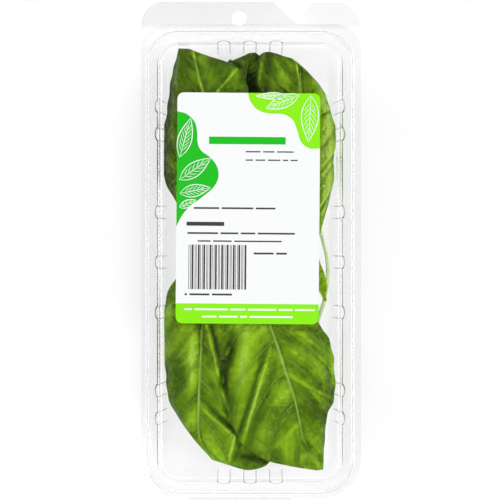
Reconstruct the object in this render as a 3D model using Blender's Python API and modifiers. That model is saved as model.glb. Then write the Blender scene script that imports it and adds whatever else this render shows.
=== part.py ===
"""Basil leaves and sprig stems lying in a clear hinged pack, closed and standing on its floor.

The pack's long side runs along Y: the hang tab is at +Y and the living hinge at -Y.
All sizes below are in millimetres and become metres where a mesh is made.
"""

from math import cos, exp, pi, sin

import bmesh
import bpy

MM = 0.001

# Clear sheet and the plan of the pack
SHEET = 0.4
FLANGE_X, FLANGE_Y = 47.4, 102.15  # half width and half length of the trimmed flange
FORM_SHIFT = (-0.45, -0.5)  # the formed shape sits a little off the trimmed outline
CORNER_STEPS = 5

# Heights above the surface that the pack stands on
FLOOR_TOP = 0.4
TRAY_FLANGE_TOP = 22.3
TRAY_RIM_TOP = 25.3
LID_FLANGE_TOP = 23.1
LID_RIM_TOP = 26.1
LID_PANEL_TOP = 24.5

# Half-round flutes in the tray's wall
FLUTE_HALF = 2.65
LONG_FLUTES = (-67.3, -55.3, -21.7, 0.0, 21.7, 55.3, 67.3)
SHORT_FLUTES = (-11.3, 0.0, 11.3)

# Tabs, hang hole and hinge, all at the short sides
LID_TAB_TOP = 111.85
TRAY_TAB_TOP = 111.4
HANG_HOLE = (-5.2, 104.6)
HANG_HOLE_RADIUS = 3.2
HINGE_CENTRE_X = -4.7
HINGE_LENGTH = 44.0
HINGE_AXIS_Y = -103.6
HINGE_AXIS_Z = 22.7
HINGE_RADIUS = 1.1

# The row's origin is under the middle of the whole outline, tab and hinge included
PACK_Y = (-HINGE_AXIS_Y + HINGE_RADIUS - LID_TAB_TOP) / 2

# Label on the lid's panel
LABEL_X, LABEL_Y = 61.6, 99.5
LABEL_CENTRE = (-1.3, 22.7)
LABEL_TURN = -0.0082
LABEL_CORNER = 2.8
LABEL_THICK = 0.2
TOUCH_GAP = 0.3

# The pile of leaves
LEAF_THICK = 0.35
LEAF_ROWS, LEAF_COLUMNS = 12, 6
MIDRIB_DEPTH = 0.5
PETIOLE_HALF = 0.8
TIP_HALF = 0.6
STEM_RADIUS = 1.0


for old in list(bpy.data.objects):
    bpy.data.objects.remove(old, do_unlink=True)

parts = bpy.data.collections.new("packed_basil")
bpy.context.scene.collection.children.link(parts)
cutters = bpy.data.collections.new("cutters")
bpy.context.scene.collection.children.link(cutters)


def material(name, colour, roughness, alpha=1.0):
    """A plain Principled material; alpha below 1 stands for clear sheet."""
    made = bpy.data.materials.new(name)
    made.use_nodes = True
    shader = made.node_tree.nodes["Principled BSDF"]
    shader.inputs["Base Color"].default_value = (*colour, 1.0)
    shader.inputs["Roughness"].default_value = roughness
    shader.inputs["Metallic"].default_value = 0.0
    shader.inputs["Alpha"].default_value = alpha
    return made


def part(name, mesh, finish):
    """Link a mesh to the object's collection under its node name."""
    mesh.materials.append(finish)
    made = bpy.data.objects.new(name, mesh)
    parts.objects.link(made)
    return made


def mesh_from(name, shape):
    """Turn an edited bmesh in millimetres into a mesh in metres, in the row's frame."""
    for vertex in shape.verts:
        vertex.co.y += PACK_Y
        vertex.co *= MM
    mesh = bpy.data.meshes.new(name)
    shape.to_mesh(mesh)
    shape.free()
    return mesh


def solidify(target, thickness, offset):
    """Give an open sheet its thickness: offset -1 grows it below its upper surface."""
    shell = target.modifiers.new("sheet", "SOLIDIFY")
    shell.thickness = thickness * MM
    shell.offset = offset
    shell.use_quality_normals = True


# ---------------------------------------------------------------- thermoformed shells


def arc(centre, radii, start, steps):
    """Points of a quarter turn, anticlockwise from the start angle, both ends included."""
    turns = [start + pi / 2 * step / steps for step in range(steps + 1)]
    return [(centre[0] + radii[0] * cos(t), centre[1] + radii[1] * sin(t)) for t in turns]


def section(half_x, half_y, corners, stations, depth=0.0, shift=(0.0, 0.0), tab=None):
    """One closed level of a shell, anticlockwise from the bottom of the right side.

    corners are the radii of the bottom right, top right, top left and bottom left corners.
    stations gives, for the long and the short sides, the places that get a point, each with
    its share of the flute depth. tab lifts the top side's points to the tab's outline.
    """
    long_side, short_side = stations
    right_bottom, right_top, left_top, left_bottom = corners
    points = [(half_x + depth * share, at) for at, share in long_side]
    top_y = half_y if tab is None else tab["corner_y"](right_top)
    centre = (half_x - right_top, top_y - right_top)
    points += arc(centre, (right_top, right_top), 0, CORNER_STEPS)
    for at, share in reversed(short_side):
        y = half_y + depth * share if tab is None else tab["side_y"](at)
        points.append((at, y))
    top_y = half_y if tab is None else tab["corner_y"](-left_top)
    centre = (-half_x + left_top, top_y - left_top)
    points += arc(centre, (left_top, left_top), pi / 2, CORNER_STEPS)
    points += [(-half_x - depth * share, at) for at, share in reversed(long_side)]
    centre = (-half_x + left_bottom, -half_y + left_bottom)
    points += arc(centre, (left_bottom, left_bottom), pi, CORNER_STEPS)
    points += [(at, -half_y - depth * share) for at, share in short_side]
    centre = (half_x - right_bottom, -half_y + right_bottom)
    points += arc(centre, (right_bottom, right_bottom), 3 * pi / 2, CORNER_STEPS)
    return [(x + shift[0], y + shift[1]) for x, y in points]


def shell_mesh(name, levels):
    """Loft the levels (outline, height) from the flat middle outwards to the trimmed edge."""
    shape = bmesh.new()
    rings = [[shape.verts.new((x, y, height)) for x, y in outline] for outline, height in levels]
    shape.faces.new(rings[0])
    for inner, outer in zip(rings, rings[1:]):
        for index, corner in enumerate(inner):
            shape.faces.new((inner[index - 1], outer[index - 1], outer[index], corner))
    return mesh_from(name, shape)


def fluted(centres, extra=()):
    """Stations along one side: five for each flute, and plain ones at the extra places."""
    profile = ((-1.0, 0.0), (-0.62, 0.72), (0.0, 1.0), (0.62, 0.72), (1.0, 0.0))
    found = [(c + FLUTE_HALF * at, share) for c in centres for at, share in profile]
    return sorted(found + [(at, 0.0) for at in extra])


def equal(radius):
    return (radius,) * 4


def lid_tab_side(x):
    """Edge of the lid's tab along the top side: full height, then a slope down to the flange."""
    slope_top, slope_foot = 9.6, 19.3
    rise = LID_TAB_TOP - FLANGE_Y
    return FLANGE_Y + rise * min(1.0, max(0.0, (slope_foot - x) / (slope_foot - slope_top)))


def tray_tab_side(x):
    """Edge of the tray's tab along the top side: a slope up to a lobe at the right corner."""
    slope_foot, slope_top = 17.6, 26.8
    rise = TRAY_TAB_TOP - FLANGE_Y
    return FLANGE_Y + rise * min(1.0, max(0.0, (x - slope_foot) / (slope_top - slope_foot)))


TAB_STATIONS = (-28.0, -20.0, 7.6, 9.6, 15.6, 17.6, 19.3, 21.0, 24.8, 26.8, 29.0)
LID_TAB = {
    "side_y": lid_tab_side,
    "corner_y": lambda side: LID_TAB_TOP if side < 0 else FLANGE_Y,
}
TRAY_TAB = {
    "side_y": tray_tab_side,
    "corner_y": lambda side: TRAY_TAB_TOP if side > 0 else FLANGE_Y,
}


def build_tray():
    """Floor, drafted fluted wall, raised rim ring and the flange with its small tab."""
    stations = (fluted(LONG_FLUTES), fluted(SHORT_FLUTES, TAB_STATIONS))
    foot_radius, rim_radius = 8.0, 13.2

    def level(half_x, half_y, radius, height, depth=0.0):
        outline = section(half_x, half_y, equal(radius), stations, depth, FORM_SHIFT)
        return outline, height

    edge = section(FLANGE_X, FLANGE_Y, (17.0, 11.0, 12.0, 17.0), stations, tab=TRAY_TAB)
    levels = [
        level(33.6, 88.4, 6.0, FLOOR_TOP, 0.5),
        level(35.3, 90.1, 7.5, 1.1, 0.8),
        level(36.1, 90.9, foot_radius, 2.9, 1.0),
        level(39.3, 93.9, 9.0, 24.2, 1.5),
        level(40.0, 94.6, 9.4, 25.1, 1.5),
        level(40.6, 95.2, 9.8, TRAY_RIM_TOP, 1.5),
        level(42.7, 97.9, rim_radius - 1.2, TRAY_RIM_TOP),
        level(43.5, 98.7, rim_radius - 0.4, 24.6),
        level(43.9, 99.1, rim_radius, TRAY_FLANGE_TOP + 0.3),
        level(44.3, 99.5, rim_radius + 0.4, TRAY_FLANGE_TOP),
        (edge, TRAY_FLANGE_TOP),
    ]
    finish = material("clear_tray_sheet", (0.93, 0.95, 0.95), 0.06, 0.25)
    solidify(part("tray", shell_mesh("tray", levels), finish), SHEET, -1)


def build_lid():
    """Flange with the hang tab, raised ring over the tray's rim, and the recessed panel."""
    stations = ([(at, 0.0) for at in (-40.0, 0.0, 40.0)], [(at, 0.0) for at in TAB_STATIONS])
    panel_radius, rim_radius = 8.0, 14.0

    def level(half_x, half_y, radius, height):
        return section(half_x, half_y, equal(radius), stations, shift=FORM_SHIFT), height

    edge = section(FLANGE_X, FLANGE_Y, (17.0, 11.0, 10.0, 17.0), stations, tab=LID_TAB)
    levels = [
        level(38.0, 92.7, panel_radius - 0.6, LID_PANEL_TOP),
        level(38.6, 93.3, panel_radius, LID_PANEL_TOP + 0.3),
        level(38.9, 93.6, panel_radius + 0.3, LID_RIM_TOP - 0.3),
        level(39.5, 94.2, panel_radius + 0.7, LID_RIM_TOP),
        level(43.6, 98.8, rim_radius - 1.0, LID_RIM_TOP),
        level(44.4, 99.6, rim_radius - 0.3, LID_RIM_TOP - 0.6),
        level(44.8, 100.0, rim_radius, LID_FLANGE_TOP + 0.4),
        level(45.2, 100.4, rim_radius + 0.3, LID_FLANGE_TOP),
        (edge, LID_FLANGE_TOP),
    ]
    finish = material("clear_lid_sheet", (0.93, 0.95, 0.95), 0.06, 0.25)
    lid = part("lid", shell_mesh("lid", levels), finish)
    solidify(lid, SHEET, -1)
    cut_hang_hole(lid)


def cut_hang_hole(lid):
    """Round peg hole through the lid's tab."""
    shape = bmesh.new()
    bmesh.ops.create_cone(shape, cap_ends=True, segments=24, depth=4.0,
                          radius1=HANG_HOLE_RADIUS, radius2=HANG_HOLE_RADIUS)
    bmesh.ops.translate(shape, verts=shape.verts, vec=(*HANG_HOLE, LID_FLANGE_TOP))
    cutter = bpy.data.objects.new("hang_hole_cutter", mesh_from("hang_hole_cutter", shape))
    cutters.objects.link(cutter)
    cutter.hide_render = True
    cutter.display_type = "WIRE"
    hole = lid.modifiers.new("hang_hole", "BOOLEAN")
    hole.operation = "DIFFERENCE"
    hole.solver = "EXACT"
    hole.object = cutter


def build_hinge():
    """The folded web of the living hinge, on the axis that the lid turns about."""
    bpy.ops.mesh.primitive_cylinder_add(
        vertices=16, radius=HINGE_RADIUS * MM, depth=HINGE_LENGTH * MM,
        location=(HINGE_CENTRE_X * MM, (HINGE_AXIS_Y + PACK_Y) * MM, HINGE_AXIS_Z * MM),
        rotation=(0, pi / 2, 0))
    web = bpy.context.object
    web.name = web.data.name = "hinge_web"
    web.data.materials.append(material("clear_hinge_sheet", (0.93, 0.95, 0.95), 0.1, 0.35))
    for holder in list(web.users_collection):
        holder.objects.unlink(web)
    parts.objects.link(web)
    web.data.shade_smooth()
    web.data.set_sharp_from_angle(angle=pi / 4)


def build_label():
    """Paper label with rounded corners, stuck a little askew on the lid's panel."""
    outline = []
    half_x, half_y = LABEL_X / 2 - LABEL_CORNER, LABEL_Y / 2 - LABEL_CORNER
    quarters = ((half_x, half_y), (-half_x, half_y), (-half_x, -half_y), (half_x, -half_y))
    for index, centre in enumerate(quarters):
        outline += arc(centre, (LABEL_CORNER, LABEL_CORNER), index * pi / 2, 4)
    turned = [(x * cos(LABEL_TURN) - y * sin(LABEL_TURN) + LABEL_CENTRE[0],
               x * sin(LABEL_TURN) + y * cos(LABEL_TURN) + LABEL_CENTRE[1]) for x, y in outline]
    curve = bpy.data.curves.new("label", "CURVE")
    curve.dimensions = "2D"
    curve.fill_mode = "BOTH"
    curve.extrude = LABEL_THICK / 2 * MM
    spline = curve.splines.new("POLY")
    spline.points.add(len(turned) - 1)
    for point, (x, y) in zip(spline.points, turned):
        point.co = (x * MM, (y + PACK_Y) * MM, 0, 1)
    spline.use_cyclic_u = True
    curve.materials.append(material("label_paper", (0.93, 0.95, 0.92), 0.5))
    label = bpy.data.objects.new("label", curve)
    label.location.z = (LID_PANEL_TOP + TOUCH_GAP + LABEL_THICK / 2) * MM
    parts.objects.link(label)


# ---------------------------------------------------------------- leaves and stems


def smooth(points, at):
    """Place at a share from 0 to 1 along a smooth curve through the points."""
    spans = len(points) - 1
    index = min(int(at * spans), spans - 1)
    t = at * spans - index
    b, c = points[index], points[index + 1]
    a = points[index - 1] if index else tuple(2 * p - q for p, q in zip(b, c))
    d = points[index + 2] if index + 2 <= spans else tuple(2 * q - p for p, q in zip(b, c))

    def axis(k):
        bend = 2 * a[k] - 5 * b[k] + 4 * c[k] - d[k]
        twist = -a[k] + 3 * b[k] - 3 * c[k] + d[k]
        return b[k] + 0.5 * t * ((c[k] - a[k]) + t * (bend + t * twist))

    return tuple(axis(k) for k in range(len(b)))


def pile(x, y):
    """How full the pile stands over a place in the tray: 1 in the middle, less by the walls."""
    across, along = abs(x) / 38.5, abs(y) / 93.0
    ripple = 0.02 * sin(x / 8.0 + y / 17.0) * cos(y / 14.0 - x / 23.0)
    return 1.0 - 0.2 * across ** 5 - 0.1 * along ** 8 + ripple


def ovate(base, tip, half_width, bow):
    """Midrib and both margins of an ovate blade with a short stalk.

    bow is how far the midrib's middle stands to the left of the line from base to tip.
    """
    run = (tip[0] - base[0], tip[1] - base[1])
    length = (run[0] ** 2 + run[1] ** 2) ** 0.5
    side = (-run[1] / length, run[0] / length)
    shares = ((0.0, 0.0), (0.11, 0.0), (0.22, 0.66), (0.38, 0.98), (0.55, 0.95),
              (0.73, 0.68), (0.88, 0.33), (1.0, 0.0))
    midrib, left, right = [], [], []
    for at, share in shares:
        arch = bow * sin(pi * at)
        x, y = (base[k] + run[k] * at + side[k] * arch for k in range(2))
        narrow = PETIOLE_HALF if at < 0.5 else TIP_HALF
        width = max(half_width * share, narrow)
        midrib.append((x, y))
        left.append((x + side[0] * width, y + side[1] * width))
        right.append((x - side[0] * width, y - side[1] * width))
    return midrib, left, right


def build_leaf(name, outline, height, finish):
    """One blade: a grid spread between its margins, folded along the midrib, with thickness."""
    midrib, left, right = outline
    shape = bmesh.new()
    bmesh.ops.create_grid(shape, x_segments=LEAF_COLUMNS, y_segments=LEAF_ROWS, size=1.0)
    for vertex in shape.verts:
        across, along = vertex.co.x, (vertex.co.y + 1.0) / 2
        centre = smooth(midrib, along)
        margin = smooth(left if across < 0 else right, along)
        share = abs(across)
        x, y = (c + (m - c) * share for c, m in zip(centre, margin))
        groove = MIDRIB_DEPTH * exp(-((share / 0.25) ** 2))
        vertex.co = (x, y, 2 * FLOOR_TOP + height * pile(x, y) - groove)
    bmesh.ops.recalc_face_normals(shape, faces=shape.faces)
    if sum(face.normal.z for face in shape.faces) < 0:
        bmesh.ops.reverse_faces(shape, faces=shape.faces)
    leaf = part(name, mesh_from(name, shape), finish)
    solidify(leaf, LEAF_THICK, 0)


# Blades that show from above: midrib, left margin and right margin, each from base to tip
TOP_LEFT = (
    ((-14.5, 8.0), (-15.5, 24.0), (-17.0, 42.0), (-19.0, 60.0), (-21.5, 76.0), (-26.0, 91.0)),
    ((-15.3, 8.0), (-29.5, 24.0), (-37.3, 42.0), (-37.2, 60.0), (-34.3, 77.0), (-31.0, 91.3)),
    ((-13.7, 8.0), (-5.5, 26.0), (0.2, 46.0), (0.6, 64.0), (-3.5, 80.0), (-20.0, 90.6)),
)
TOP_RIGHT = (
    ((26.5, 11.0), (25.0, 26.0), (23.5, 44.0), (22.5, 62.0), (21.0, 78.0), (17.5, 91.0)),
    ((25.6, 11.0), (9.5, 26.0), (3.5, 44.0), (2.5, 62.0), (4.0, 78.0), (8.0, 91.0)),
    ((27.4, 11.0), (33.3, 24.0), (36.2, 42.0), (36.6, 60.0), (32.0, 78.0), (22.5, 90.0)),
)
LOW_RIGHT = (
    ((1.0, -6.0), (5.5, -20.0), (13.0, -38.0), (19.5, -58.0), (24.5, -76.0), (31.5, -90.5)),
    ((1.8, -5.4), (22.0, -18.0), (34.0, -35.0), (37.0, -54.0), (33.5, -72.0), (32.2, -90.5)),
    ((0.2, -6.6), (-14.0, -20.0), (-16.5, -40.0), (-10.5, -64.0), (3.0, -84.5), (30.6, -90.8)),
)
LOW_LEFT = (
    ((-15.5, 6.0), (-19.0, -10.0), (-21.5, -26.0), (-22.0, -44.0), (-22.6, -60.0), (-21.0, -78.0)),
    ((-14.6, 6.0), (-5.0, -8.0), (1.0, -26.0), (1.5, -44.0), (-2.0, -60.0), (-12.0, -74.0)),
    ((-16.4, 6.0), (-33.0, -10.0), (-37.6, -26.0), (-37.0, -44.0), (-34.0, -60.0), (-26.0, -76.0)),
)

# Every blade from the floor upwards: outline and height of its layer
LEAVES = (
    (ovate((-6.0, 4.0), (-6.0, 84.0), 24.0, -2.0), 1.2),
    (ovate((8.0, -2.0), (6.0, -85.0), 25.0, -3.0), 1.2),
    (ovate((10.0, 6.0), (11.0, 86.0), 21.0, -3.0), 3.7),
    (ovate((-12.0, -6.0), (-10.0, -84.0), 21.0, 3.0), 3.7),
    (ovate((-2.0, 20.0), (-4.0, -54.0), 26.0, 4.0), 6.2),
    (ovate((-10.0, 14.0), (-9.0, 88.0), 23.0, 2.0), 11.2),
    (ovate((11.0, 0.0), (8.0, -86.0), 23.0, -3.0), 11.2),
    (ovate((14.0, 8.0), (12.0, 89.0), 21.0, -2.0), 13.5),
    (ovate((-6.0, -12.0), (-6.0, -89.0), 24.0, 3.0), 13.5),
    (ovate((-4.0, 24.0), (0.5, 91.5), 20.0, 2.0), 15.8),
    (ovate((-9.0, -18.0), (2.0, -91.0), 20.0, -5.0), 15.8),
    (TOP_RIGHT, 18.2),
    (LOW_LEFT, 18.2),
    (TOP_LEFT, 20.7),
    (LOW_RIGHT, 20.7),
)

# Sprig stems as (x, y, z) routes; the first one shows beside the label
STEMS = (
    ((32.0, 12.0, 15.4), (32.8, 4.0, 14.9), (34.0, -3.5, 14.4), (32.8, -15.0, 14.6),
     (30.0, -26.0, 14.9)),
    ((-20.0, 60.0, 8.9), (-17.0, 35.0, 9.3), (-15.0, 10.0, 9.4), (-17.0, -15.0, 9.3)),
    ((4.0, 66.0, 9.3), (6.0, 40.0, 9.5), (3.0, 12.0, 9.5), (4.0, -10.0, 9.5)),
    ((14.0, -20.0, 9.3), (10.0, -42.0, 9.4), (12.0, -64.0, 9.0)),
)


def build_leaves():
    blade = material("basil_blade", (0.09, 0.28, 0.02), 0.4)
    for index, (outline, height) in enumerate(LEAVES, 1):
        build_leaf(f"leaf_{index:02d}", outline, height, blade)


def build_stems():
    """Round green stems, each a smooth route with capped ends."""
    rind = material("basil_stem", (0.36, 0.55, 0.16), 0.45)
    points_each = 9
    for index, route in enumerate(STEMS, 1):
        curve = bpy.data.curves.new(f"stem_{index}", "CURVE")
        curve.dimensions = "3D"
        curve.bevel_depth = STEM_RADIUS * MM
        curve.bevel_resolution = 2
        curve.use_fill_caps = True
        spline = curve.splines.new("POLY")
        spline.points.add(points_each - 1)
        for step, point in enumerate(spline.points):
            x, y, z = smooth(route, step / (points_each - 1))
            point.co = (x * MM, (y + PACK_Y) * MM, z * MM, 1)
        curve.materials.append(rind)
        parts.objects.link(bpy.data.objects.new(f"stem_{index}", curve))


build_tray()
build_lid()
build_hinge()
build_label()
build_leaves()
build_stems()
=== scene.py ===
"""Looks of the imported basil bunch: clear hinged pack, paper label, blades and sprig stems.

Sizes are in millimetres in the pack's own plan, centred on its trimmed outline, and become
metres in the row's frame through place().
"""

from math import cos, exp, hypot, pi, sin, tanh

import bmesh
import bpy
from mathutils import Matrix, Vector, noise


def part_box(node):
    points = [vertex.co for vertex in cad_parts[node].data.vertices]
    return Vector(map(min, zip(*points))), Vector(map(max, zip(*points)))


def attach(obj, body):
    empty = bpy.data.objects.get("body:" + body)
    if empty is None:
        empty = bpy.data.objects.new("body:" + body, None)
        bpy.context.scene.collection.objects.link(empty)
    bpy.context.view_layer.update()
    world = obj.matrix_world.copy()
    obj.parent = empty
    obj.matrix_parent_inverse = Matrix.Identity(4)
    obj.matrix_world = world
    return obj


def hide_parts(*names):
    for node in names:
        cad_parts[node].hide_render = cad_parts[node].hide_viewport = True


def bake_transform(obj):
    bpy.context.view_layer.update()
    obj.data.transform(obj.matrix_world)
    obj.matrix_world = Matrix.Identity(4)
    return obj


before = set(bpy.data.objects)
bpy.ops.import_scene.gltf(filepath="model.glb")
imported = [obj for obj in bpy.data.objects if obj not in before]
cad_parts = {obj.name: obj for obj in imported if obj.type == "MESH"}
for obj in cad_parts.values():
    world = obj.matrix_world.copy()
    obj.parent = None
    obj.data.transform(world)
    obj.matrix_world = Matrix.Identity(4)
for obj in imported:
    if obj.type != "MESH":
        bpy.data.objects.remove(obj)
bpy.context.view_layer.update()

# ------------------------------------------------------------ floor, light and camera
# The pack lies on a plain white table that glows a little, under three wide soft lights. It
# is looked at from straight above through a long lens.

MM = 0.001
LID_TAB_TOP = 111.85
PACK_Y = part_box("lid")[1][1] / MM - LID_TAB_TOP
LID_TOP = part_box("lid")[1][2] / MM
TRAY_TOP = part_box("tray")[1][2] / MM
TABLE_SIZE = 6.0
TABLE_GAP = 0.0004
TABLE_WHITE = 0.35
TABLE_GLOW = 0.62
CAMERA_HEIGHT = 0.95
VIEW_WIDTH = 0.215


def place(x, y, z):
    """A point of the pack's plan, in millimetres, as metres in the row's frame."""
    return Vector((x * MM, (y + PACK_Y) * MM, z * MM))


def simple_material(name, colour, roughness):
    """A Principled material to which a section adds its own pattern."""
    made = bpy.data.materials.new(name)
    made.use_nodes = True
    shader = made.node_tree.nodes["Principled BSDF"]
    shader.inputs["Base Color"].default_value = (*colour, 1.0)
    shader.inputs["Roughness"].default_value = roughness
    return made, shader


bpy.ops.object.select_all(action="DESELECT")
bpy.ops.mesh.primitive_plane_add(size=TABLE_SIZE, location=(0, 0, -TABLE_GAP))
bpy.ops.object.transform_apply(location=True, rotation=True, scale=True)
table = bpy.context.object
table.name = "table"
table_finish, table_shader = simple_material("table_white", (TABLE_WHITE,) * 3, 0.9)
table_shader.inputs["Emission Color"].default_value = (1.0, 1.0, 1.0, 1.0)
table_shader.inputs["Emission Strength"].default_value = TABLE_GLOW
table.data.materials.append(table_finish)


def soft_light(name, location, target, size, power):
    """A square softbox that faces the target. Places and size in metres, power in watts."""
    data = bpy.data.lights.new(name, "AREA")
    data.shape = "SQUARE"
    data.size = size
    data.energy = power
    lamp = bpy.data.objects.new(name, data)
    lamp.location = location
    lamp.rotation_euler = (Vector(target) - Vector(location)).to_track_quat("-Z", "Y").to_euler()
    bpy.context.scene.collection.objects.link(lamp)


soft_light("softbox_right", (1.5, 0.1, 1.4), (0, 0, 0), 1.0, 24.0)
soft_light("softbox_left", (-1.5, -0.1, 1.25), (0, 0, 0), 1.3, 18.0)
soft_light("softbox_foot", (-0.1, -1.7, 1.2), (0, 0, 0), 1.0, 7.0)

world = bpy.data.worlds.new("studio")
world.use_nodes = True
world_nodes, world_links = world.node_tree.nodes, world.node_tree.links
world_nodes["Background"].inputs["Color"].default_value = (0.95, 0.98, 1.0, 1.0)
sky = world_nodes.new("ShaderNodeTexCoord")
sky_parts = world_nodes.new("ShaderNodeSeparateXYZ")
sky_fall = world_nodes.new("ShaderNodeMapRange")
sky_fall.interpolation_type = "SMOOTHSTEP"
sky_fall.inputs["From Min"].default_value = 0.78
sky_fall.inputs["From Max"].default_value = 0.96
sky_fall.inputs["To Min"].default_value = 0.46
sky_fall.inputs["To Max"].default_value = 0.03
world_links.new(sky.outputs["Generated"], sky_parts.inputs["Vector"])
world_links.new(sky_parts.outputs["Z"], sky_fall.inputs["Value"])
world_links.new(sky_fall.outputs["Result"], world_nodes["Background"].inputs["Strength"])
bpy.context.scene.world = world
bpy.context.scene.view_settings.view_transform = "Standard"

lens = bpy.data.cameras.new("camera")
lens.lens = 36.0 * (CAMERA_HEIGHT - LID_TOP * MM) / VIEW_WIDTH
camera = bpy.data.objects.new("camera", lens)
camera.location = place(-0.43, 4.77, CAMERA_HEIGHT / MM)
bpy.context.scene.collection.objects.link(camera)
bpy.context.scene.camera = camera

# ------------------------------------------------------------ tray
# One thermoformed sheet of clear plastic: flat floor, drafted walls with half-round flutes
# that stiffen them, a raised rim ring, and a flange trimmed with a small tab at its corner.

SHEET = 0.4
TRAY_FLANGE = 22.3
FLANGE_X, FLANGE_Y = 47.4, 102.15
FORM_SHIFT = (-0.45, -0.5)
FLUTE_HALF = 2.65
LONG_FLUTES = (-67.3, -55.3, -21.7, 0.0, 21.7, 55.3, 67.3)
SHORT_FLUTES = (-11.3, 0.0, 11.3)
TRAY_TAB_TOP = 111.4
CORNER_STEPS = 14
FLUTE_STEPS = 10


def new_object(name):
    """Name the primitive that was just added, and its mesh."""
    made = bpy.context.object
    made.name = made.data.name = name
    return made


def apply_modifier(target, kind, **values):
    """Add a modifier, set its values and apply it."""
    bpy.ops.object.select_all(action="DESELECT")
    target.select_set(True)
    bpy.context.view_layer.objects.active = target
    modifier = target.modifiers.new(kind.lower(), kind)
    for key, value in values.items():
        setattr(modifier, key, value)
    bpy.ops.object.modifier_apply(modifier=modifier.name)


def shade(target, angle):
    """Shade smooth, with edges sharper than the angle kept crisp."""
    bpy.ops.object.select_all(action="DESELECT")
    target.select_set(True)
    bpy.context.view_layer.objects.active = target
    bpy.ops.object.shade_smooth_by_angle(angle=angle)


def arc(centre, radius, start, steps):
    """Points of a quarter turn, anticlockwise from the start angle, both ends included."""
    turns = [start + pi / 2 * step / steps for step in range(steps + 1)]
    return [(centre[0] + radius * cos(t), centre[1] + radius * sin(t)) for t in turns]


def fluted(centres, reach, extra=()):
    """Stations along one side: a half round for each flute, and plain ones between them."""
    turns = [pi * step / FLUTE_STEPS for step in range(FLUTE_STEPS + 1)]
    found = [(c - FLUTE_HALF * cos(t), sin(t) ** 1.6) for c in centres for t in turns]
    plain = [at for at in range(-reach, reach + 1, 6)] + list(extra)
    clear = [at for at in plain if all(abs(at - c) > FLUTE_HALF + 0.8 for c in centres)]
    return sorted(set(found + [(float(at), 0.0) for at in clear]))


def section(half_x, half_y, corners, stations, depth=0.0, shift=(0.0, 0.0), tab=None):
    """One closed level of a shell, anticlockwise from the bottom of the right side."""
    long_side, short_side = stations
    right_bottom, right_top, left_top, left_bottom = corners
    right_y, left_y = (half_y, half_y) if tab is None else (tab(half_x), tab(-half_x))
    points = [(half_x + depth * share, at) for at, share in long_side]
    points += arc((half_x - right_top, right_y - right_top), right_top, 0, CORNER_STEPS)
    for at, share in reversed(short_side):
        points.append((at, half_y + depth * share if tab is None else tab(at)))
    points += arc((-half_x + left_top, left_y - left_top), left_top, pi / 2, CORNER_STEPS)
    points += [(-half_x - depth * share, at) for at, share in reversed(long_side)]
    points += arc((-half_x + left_bottom, -half_y + left_bottom), left_bottom, pi, CORNER_STEPS)
    points += [(at, -half_y - depth * share) for at, share in short_side]
    centre = (half_x - right_bottom, -half_y + right_bottom)
    points += arc(centre, right_bottom, 3 * pi / 2, CORNER_STEPS)
    return [(x + shift[0], y + shift[1]) for x, y in points]


def rounded_levels(corners, steps=5):
    """Levels (half x, half y, corner radius, height, flute depth) with rounded bends.

    Each corner is a level followed by the length that its bend takes from both sides.
    """
    levels = []
    for index, (level, reach) in enumerate(corners):
        if not reach:
            levels.append(level)
            continue
        ends = []
        for other in (corners[index - 1][0], corners[index + 1][0]):
            length = hypot(other[0] - level[0], other[3] - level[3])
            part = min(0.48, reach / length)
            ends.append([a + (b - a) * part for a, b in zip(level, other)])
        for step in range(steps + 1):
            t = step / steps
            weights = ((1 - t) ** 2, 2 * t * (1 - t), t * t)
            blended = zip(ends[0], level, ends[1])
            levels.append([sum(w * v for w, v in zip(weights, each)) for each in blended])
    return levels


def shell(name, outlines):
    """A grid wrapped into rings, one for each (outline, height), and closed in the middle."""
    first, height = outlines[0]
    middle = [sum(point[k] for point in first) / len(first) for k in range(2)]
    for share in (0.7, 0.35, 0.0):
        inner = [[m + (p - m) * share for p, m in zip(point, middle)] for point in first]
        outlines = [(inner, height), *outlines]
    around = len(first)
    bpy.ops.object.select_all(action="DESELECT")
    bpy.ops.mesh.primitive_grid_add(x_subdivisions=around, y_subdivisions=len(outlines) - 1)
    made = new_object(name)
    for vertex in made.data.vertices:
        row, column = divmod(vertex.index, around + 1)
        outline, height = outlines[row]
        vertex.co = place(*outline[column % around], height)
    bpy.ops.object.mode_set(mode="EDIT")
    bpy.ops.mesh.select_all(action="SELECT")
    bpy.ops.mesh.remove_doubles(threshold=0.000001)
    bpy.ops.mesh.normals_make_consistent(inside=False)
    bpy.ops.object.mode_set(mode="OBJECT")
    if sum(face.normal.z * face.area for face in made.data.polygons) < 0:
        made.data.flip_normals()
    return made


def tray_edge(x):
    """Trimmed edge of the tray at its tab end: a slope up to a lobe at the right corner."""
    slope_foot, slope_top = 17.6, 26.8
    rise = TRAY_TAB_TOP - FLANGE_Y
    return FLANGE_Y + rise * min(1.0, max(0.0, (x - slope_foot) / (slope_top - slope_foot)))


def lid_edge(x):
    """Trimmed edge of the lid at its tab end: full height, then a slope down to the flange."""
    slope_top, slope_foot = 9.6, 19.3
    rise = LID_TAB_TOP - FLANGE_Y
    return FLANGE_Y + rise * min(1.0, max(0.0, (slope_foot - x) / (slope_foot - slope_top)))


def new_group(name, entries, results):
    """An empty shader node group with named sockets, and the nodes that hold them."""
    group = bpy.data.node_groups.new(name, "ShaderNodeTree")
    for in_out, sockets in (("INPUT", entries), ("OUTPUT", results)):
        for label, kind in sockets:
            group.interface.new_socket(label, in_out=in_out, socket_type=f"NodeSocket{kind}")
    return group, group.nodes.new("NodeGroupInput"), group.nodes.new("NodeGroupOutput")


def add_group(made, group):
    """Place a node group in a material, with its Place read from the object's coordinates."""
    nodes, links = made.node_tree.nodes, made.node_tree.links
    coordinates, placed = nodes.new("ShaderNodeTexCoord"), nodes.new("ShaderNodeGroup")
    placed.node_tree = group
    links.new(coordinates.outputs["Object"], placed.inputs["Place"])
    return placed


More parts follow.
